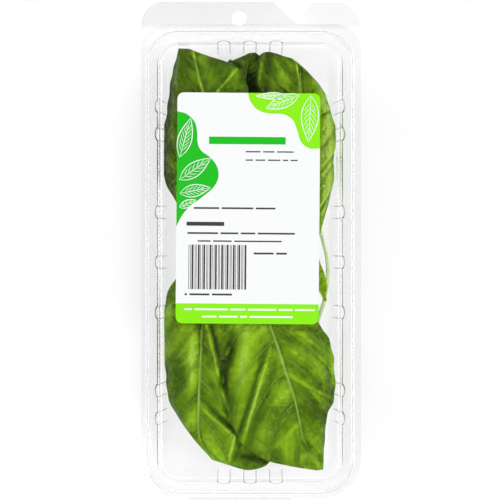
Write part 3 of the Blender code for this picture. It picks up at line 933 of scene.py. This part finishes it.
def blade_material(name, roughness, vein_height, **shades):
    """One side of a leaf, with its own greens and a soft uneven gloss."""
    made, shader = simple_material(name, shades["Middle"], roughness)
    shader.inputs["Specular IOR Level"].default_value = 0.3
    shader.inputs["Specular Tint"].default_value = (0.8, 1.0, 0.2, 1.0)
    nodes, links = made.node_tree.nodes, made.node_tree.links
    skin = add_group(made, blade_skin)
    for shade_name, colour in shades.items():
        skin.inputs[shade_name].default_value = (*colour, 1.0)
    skin.inputs["Vein Height"].default_value = vein_height
    tone = nodes.new("ShaderNodeAttribute")
    tone.attribute_name = "tone"
    gloss = nodes.new("ShaderNodeMapRange")
    gloss.inputs["To Min"].default_value = roughness - 0.08
    gloss.inputs["To Max"].default_value = roughness + 0.1
    links.new(nodes["Texture Coordinate"].outputs["UV"], skin.inputs["Map"])
    links.new(tone.outputs["Fac"], skin.inputs["Tone"])
    links.new(skin.outputs["Colour"], shader.inputs["Base Color"])
    links.new(skin.outputs["Gloss"], gloss.inputs["Value"])
    links.new(gloss.outputs["Result"], shader.inputs["Roughness"])
    links.new(skin.outputs["Normal"], shader.inputs["Normal"])
    return made


blade_top = blade_material(
    "blade_upper_skin", 0.36, -1.0, Deep=(0.005, 0.014, 0.001), Dark=(0.033, 0.082, 0.001),
    Middle=(0.086, 0.19, 0.002), Bright=(0.25, 0.45, 0.01), Vein=(0.32, 0.45, 0.09))
blade_under = blade_material(
    "blade_lower_skin", 0.6, 1.0, Deep=(0.05, 0.09, 0.01), Dark=(0.13, 0.22, 0.03),
    Middle=(0.18, 0.3, 0.05), Bright=(0.27, 0.4, 0.08), Vein=(0.36, 0.5, 0.2))


def ovate(base, tip, half_width, bow):
    """Midrib and both margins of an ovate blade with a short stalk.

    bow is how far the midrib's middle stands to the left of the line from base to tip.
    """
    run = (tip[0] - base[0], tip[1] - base[1])
    length = hypot(*run)
    side = (-run[1] / length, run[0] / length)
    shares = ((0.0, 0.0), (0.11, 0.0), (0.22, 0.66), (0.38, 0.98), (0.55, 0.95),
              (0.73, 0.68), (0.88, 0.33), (1.0, 0.0))
    midrib, left, right = [], [], []
    for at, share in shares:
        arch = bow * sin(pi * at)
        x, y = (base[k] + run[k] * at + side[k] * arch for k in range(2))
        width = max(half_width * share, 0.8 if at < 0.5 else 0.3)
        midrib.append((x, y))
        left.append((x + side[0] * width, y + side[1] * width))
        right.append((x - side[0] * width, y - side[1] * width))
    return midrib, left, right


# Blades that show from above: midrib, left margin and right margin, each from base to tip
TOP_LEFT = (
    ((-14.5, 8.0), (-15.2, 22.0), (-16.6, 36.0), (-18.2, 50.0), (-19.8, 64.0), (-21.6, 78.0),
     (-26.5, 91.9)),
    ((-15.3, 8.0), (-30.0, 22.0), (-38.3, 38.0), (-38.4, 52.0), (-36.4, 66.0), (-34.4, 80.5),
     (-31.3, 92.2)),
    ((-13.7, 8.0), (-5.0, 24.0), (0.0, 42.0), (1.0, 58.0), (-1.0, 73.0), (-5.8, 83.6),
     (-24.5, 90.9)),
)
TOP_RIGHT = (
    ((28.0, 11.0), (26.6, 23.0), (25.4, 35.0), (24.2, 47.0), (23.2, 58.0), (22.3, 69.0),
     (21.8, 77.0), (21.4, 83.0), (19.2, 86.8)),
    ((26.5, 10.5), (14.0, 23.0), (6.5, 35.0), (4.6, 47.0), (5.0, 59.0), (5.6, 70.0), (2.6, 79.0),
     (5.2, 90.4), (17.8, 87.9)),
    ((30.0, 12.0), (33.4, 24.0), (36.2, 37.0), (35.6, 44.8), (37.4, 54.5), (34.3, 66.5),
     (31.8, 73.5), (27.2, 79.6), (20.4, 86.0)),
)
LOW_RIGHT = (
    ((0.0, -4.0), (4.3, -16.0), (8.2, -27.5), (12.0, -38.0), (15.3, -48.5), (18.6, -58.0),
     (21.0, -68.0), (23.6, -78.5), (30.3, -90.4)),
    ((1.0, -3.5), (18.0, -14.0), (28.5, -26.0), (34.2, -35.0), (36.1, -46.0), (36.2, -59.0),
     (33.0, -67.0), (31.9, -78.0), (31.2, -90.6)),
    ((-1.0, -4.5), (-14.0, -14.0), (-19.5, -26.0), (-17.0, -38.0), (-14.6, -50.0),
     (-10.5, -63.0), (-5.0, -77.0), (7.5, -86.4), (28.5, -90.8)),
)
LOW_LEFT = (
    ((-15.5, 6.0), (-19.0, -8.0), (-21.0, -22.0), (-21.8, -36.0), (-22.4, -50.0),
     (-23.0, -63.0), (-22.5, -76.0), (-16.2, -86.4)),
    ((-14.6, 6.0), (-4.0, -10.0), (3.0, -28.0), (6.0, -46.0), (9.0, -62.0), (13.0, -79.0),
     (2.0, -90.6), (-15.6, -86.6)),
    ((-16.4, 6.0), (-33.0, -8.0), (-38.0, -22.0), (-38.2, -36.0), (-37.0, -50.0),
     (-35.2, -61.5), (-26.6, -75.0), (-16.8, -86.2)),
)
UNDER_TOP = (
    ((-4.0, 24.0), (-3.5, 50.0), (-3.0, 68.0), (-2.0, 82.0), (0.5, 90.6)),
    ((-4.8, 24.0), (-20.0, 50.0), (-20.0, 70.0), (-13.5, 83.5), (-1.0, 90.4)),
    ((-3.2, 24.0), (14.0, 50.0), (15.0, 70.0), (10.0, 84.0), (2.0, 90.6)),
)

# Each fold's last number is its tone, mostly painted light: below 0 painted shade in troughs and
# pockets and painted shadow in the gaps under the blades above, above 0 painted highlights along
# ridges and rims; a few give the blade's own yellow-green patches.
BLADES = (
    (ovate((-6.0, 4.0), (-6.0, 84.0), 24.0, -2.0), 1.2, {}),
    (ovate((8.0, -2.0), (6.0, -85.0), 25.0, -3.0), 1.2, {}),
    (ovate((10.0, 6.0), (11.0, 86.0), 21.0, -3.0), 3.7, {}),
    (ovate((-12.0, -6.0), (-10.0, -84.0), 21.0, 3.0), 3.7, {}),
    (ovate((-2.0, 20.0), (-4.0, -54.0), 26.0, 4.0), 6.2, {}),
    (ovate((-10.0, 14.0), (-9.0, 88.0), 23.0, 2.0), 11.2, {}),
    (ovate((11.0, 0.0), (8.0, -86.0), 23.0, -3.0), 11.2, {}),
    (ovate((14.0, 8.0), (12.0, 89.0), 21.0, -2.0), 13.5, {}),
    (ovate((-6.0, -12.0), (-3.0, -88.0), 24.0, 3.0), 13.5, {}),
    (UNDER_TOP, 15.8, {"folds": (
        # Painted shadow where the blade above hangs over this one's tip, the first with no relief
        # at all.
        (swell, (-12.0, 84.0), (4.0, 87.0), 9.0, 0.0, -0.8),
        (swell, (-3.0, 79.0), (2.0, 68.0), 6.0, -2.0, -1.0))}),
    (ovate((-9.0, -18.0), (2.0, -86.0), 18.0, -5.0), 15.8, {}),
    (TOP_RIGHT, 18.2, {"curl": (0.2, 3.0), "plain": 0.27, "rows": 150, "columns": 110, "folds": (
        (swell, (5.2, 89.6), (3.4, 77.5), 0.8, 0.9, 0.9),
        (swell, (7.4, 88.0), (7.0, 74.0), 1.4, -0.7, -0.4),
        (swell, (8.6, 78.7), (18.0, 72.7), 0.6, 0.4, 0.6),
        (swell, (11.0, 86.0), (17.0, 76.0), 2.4, 0.7, 0.4),
        (swell, (19.6, 86.4), (21.9, 72.0), 0.6, 0.3, 1.4),
        (swell, (27.5, 76.0), (31.0, 66.0), 2.0, 0.5, 0.4),
        (swell, (33.6, 70.0), (32.6, 16.0), 5.0, 0.3, 1.5),
        (swell, (29.7, 64.0), (34.6, 66.6), 0.5, 0.3, 0.6),
        (swell, (29.7, 62.6), (35.0, 65.2), 0.6, -0.4, -1.0),
        (swell, (29.7, 39.6), (36.4, 48.4), 0.5, 0.3, 0.6),
        (swell, (30.6, 39.0), (37.0, 47.2), 0.6, -0.4, -1.0),
        (swell, (29.7, 23.3), (35.3, 32.7), 0.5, 0.3, 0.6),
        (swell, (30.4, 22.6), (36.0, 32.0), 0.6, -0.4, -1.0))}),
    (LOW_LEFT, 18.2, {"curl": (0.4, 2.2), "plain": 0.5, "rows": 150, "columns": 120, "folds": (
        (cliff, (-6.5, -77.0), (-21.5, -63.2), 0.35, 1.3, 0.15),
        (cliff, (-9.6, -88.5), (-6.5, -77.0), 0.35, 1.5, 0.15),
        (swell, (-21.2, -63.8), (-7.4, -75.8), 0.6, 0.4, 1.1),
        (swell, (-7.4, -77.0), (-9.8, -87.0), 0.6, 0.4, 1.0),
        (swell, (-19.0, -62.4), (-6.2, -73.6), 0.9, -0.5, -0.8),
        (swell, (-4.0, -84.6), (7.0, -86.6), 1.7, -0.6, -1.1),
        (swell, (-4.8, -78.5), (-7.0, -86.0), 1.0, -0.5, -0.8),
        (swell, (0.0, -77.0), (7.0, -82.0), 4.0, -0.4, -0.4),
        (swell, (-25.3, -31.0), (-25.8, -54.0), 2.4, 0.5, 0.9),
        (swell, (-34.0, -30.0), (-31.0, -56.0), 3.2, -0.3, -0.4),
        (swell, (-31.0, -46.0), (-21.5, -38.0), 0.6, 0.4, 0.5),
        (swell, (-18.5, -30.0), (-13.5, -60.0), 1.6, 0.5, 0.5),
        (swell, (-26.0, -66.0), (-14.0, -82.0), 3.5, 0.6, 0.35))}),
    (TOP_LEFT, 20.7, {"curl": (3.6, 1.0), "plain": 0.27, "rows": 150, "columns": 110, "folds": (
        # Painted shade on the left strip where the margin curls down, with no relief.
        (swell, (-37.0, 72.0), (-37.5, 36.0), 2.6, 0.0, -0.35),
        (swell, (-29.5, 89.0), (-28.5, 66.0), 2.4, -0.6, -0.3),
        (swell, (-20.0, 86.0), (-16.5, 74.0), 2.2, 0.6, 0.35),
        (swell, (-13.5, 85.0), (-12.0, 76.0), 1.8, -0.5, -0.2),
        (swell, (-8.0, 82.0), (-3.5, 72.0), 2.0, 0.5, 0.35),
        (swell, (-25.0, 90.0), (-21.0, 73.0), 0.6, 0.3, 1.6),
        (swell, (-15.5, 72.0), (-7.0, 82.0), 0.55, 0.5, 1.5))}),
    (LOW_RIGHT, 20.7, {"curl": (1.8, 0.0), "plain": 0.5, "rows": 170, "columns": 130, "folds": (
        # Painted shade deepens the pocket beside the midrib.
        (swell, (-8.6, -35.5), (-12.8, -54.0), 2.2, -1.9, -1.4),
        (swell, (-19.2, -28.0), (-11.4, -62.0), 0.8, 0.9, 1.3),
        (swell, (-17.0, -28.0), (-9.6, -60.0), 1.1, -0.5, -0.7),
        (swell, (6.9, -42.5), (-2.6, -74.8), 0.8, 1.1, 1.0),
        (swell, (4.6, -43.0), (-4.6, -73.0), 1.3, -0.7, -0.9),
        (swell, (9.6, -46.0), (0.4, -76.0), 1.7, -0.7, -0.6),
        (swell, (-2.0, -27.0), (-4.0, -54.0), 4.6, 0.6, 0.9),
        (swell, (14.0, -64.0), (6.0, -82.0), 5.0, -0.4, -0.4),
        (swell, (17.0, -50.0), (35.0, -59.5), 0.6, 0.4, 0.7),
        (swell, (21.0, -70.0), (10.5, -80.0), 0.6, 0.4, 0.6),
        (swell, (21.0, -38.0), (31.0, -46.0), 3.4, 0.5, 0.3),
        # Painted highlight along the right margin, with no relief.
        (swell, (35.0, -37.0), (35.8, -52.0), 1.1, 0.0, 0.9),
        (swell, (24.0, -60.0), (31.0, -68.0), 3.0, -0.5, -0.4),
        (swell, (26.5, -84.0), (30.0, -90.0), 1.0, 0.3, 0.8))}),
)
for index, (outline, height, options) in enumerate(BLADES, 1):
    made = blade(f"blade_{index:02d}", outline, height, index * 1.37, **options)
    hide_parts(f"leaf_{index:02d}")
blade("blade_across", ovate((20.0, -20.0), (-16.0, 42.0), 17.0, 3.0), 14.8, 21.3, pucker=0.6)
blade("blade_sprig", ovate((32.2, -17.5), (29.4, 0.5), 2.3, 0.4), 17.0, 4.2,
      plain=0.8, rows=30, columns=16, pucker=0.25, pairs=3)

# ------------------------------------------------------------ stems
# Tender four-sided sprig stems, pale green, cut short and lying among the blades. One shows
# beside the label and carries a small folded leaf.

STEM_RADIUS = 1.0
STEMS = (
    ((28.6, 18.0, 16.6), (31.4, 8.5, 16.0), (33.4, -2.0, 15.4), (32.4, -15.0, 15.4),
     (28.6, -27.5, 15.8)),
    ((-20.0, 60.0, 8.9), (-17.0, 35.0, 9.3), (-15.0, 10.0, 9.4), (-17.0, -15.0, 9.3)),
    ((4.0, 66.0, 9.3), (6.0, 40.0, 9.5), (3.0, 12.0, 9.5), (4.0, -10.0, 9.5)),
    ((14.0, -20.0, 9.3), (10.0, -42.0, 9.4), (12.0, -64.0, 9.0)),
)

stem_skin, stem_shader = simple_material("stem_skin", (0.5, 0.66, 0.3), 0.42)
stem_nodes, stem_links = stem_skin.node_tree.nodes, stem_skin.node_tree.links
stem_place = stem_nodes.new("ShaderNodeTexCoord")
stem_streaks = stem_nodes.new("ShaderNodeTexNoise")
stem_streaks.inputs["Scale"].default_value = 260.0
stem_streaks.inputs["Detail"].default_value = 3.0
stem_tone = stem_nodes.new("ShaderNodeMix")
stem_tone.data_type = "RGBA"
stem_tone.inputs["A"].default_value = (0.3, 0.48, 0.12, 1.0)
stem_tone.inputs["B"].default_value = (0.62, 0.74, 0.42, 1.0)
stem_links.new(stem_place.outputs["Object"], stem_streaks.inputs["Vector"])
stem_links.new(stem_streaks.outputs["Fac"], stem_tone.inputs["Factor"])
stem_links.new(stem_tone.outputs["Result"], stem_shader.inputs["Base Color"])

STEM_SIDES, STEM_RINGS = 16, 30
for index, route in enumerate(STEMS, 1):
    bpy.ops.object.select_all(action="DESELECT")
    bpy.ops.mesh.primitive_cylinder_add(vertices=STEM_SIDES, radius=1, depth=2)
    stem = new_object(f"sprig_stem_{index}")
    bpy.ops.object.mode_set(mode="EDIT")
    bpy.ops.mesh.select_all(action="DESELECT")
    edited = bmesh.from_edit_mesh(stem.data)
    for edge in edited.edges:
        edge.select = abs(edge.verts[0].co.z - edge.verts[1].co.z) > 1
    bmesh.update_edit_mesh(stem.data)
    bpy.ops.mesh.subdivide(number_cuts=STEM_RINGS)
    bpy.ops.object.mode_set(mode="OBJECT")
    for vertex in stem.data.vertices:
        at = (vertex.co.z + 1) / 2
        centre = Vector(smooth(route, at))
        run = Vector(smooth(route, min(1, at + 0.02))) - Vector(smooth(route, max(0, at - 0.02)))
        across = run.cross(Vector((0, 0, 1))).normalized()
        upward = across.cross(run).normalized()
        square = 1 - 0.1 * cos(4 * Vector((1, 0)).angle_signed(vertex.co.xy))
        flare = 1 + 0.12 * (noise.noise(centre / 6) + exp(-((at - 0.02) / 0.05) ** 2))
        radius = (STEM_RADIUS - 0.12) * square * flare
        point = centre + across * vertex.co.x * radius + upward * vertex.co.y * radius
        vertex.co = place(*point)
    bpy.ops.object.mode_set(mode="EDIT")
    bpy.ops.mesh.select_all(action="SELECT")
    bpy.ops.mesh.normals_make_consistent(inside=False)
    bpy.ops.object.mode_set(mode="OBJECT")
    shade(stem, pi / 4)
    stem.data.materials.append(stem_skin)
    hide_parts(f"stem_{index}")
    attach(stem, "tray")
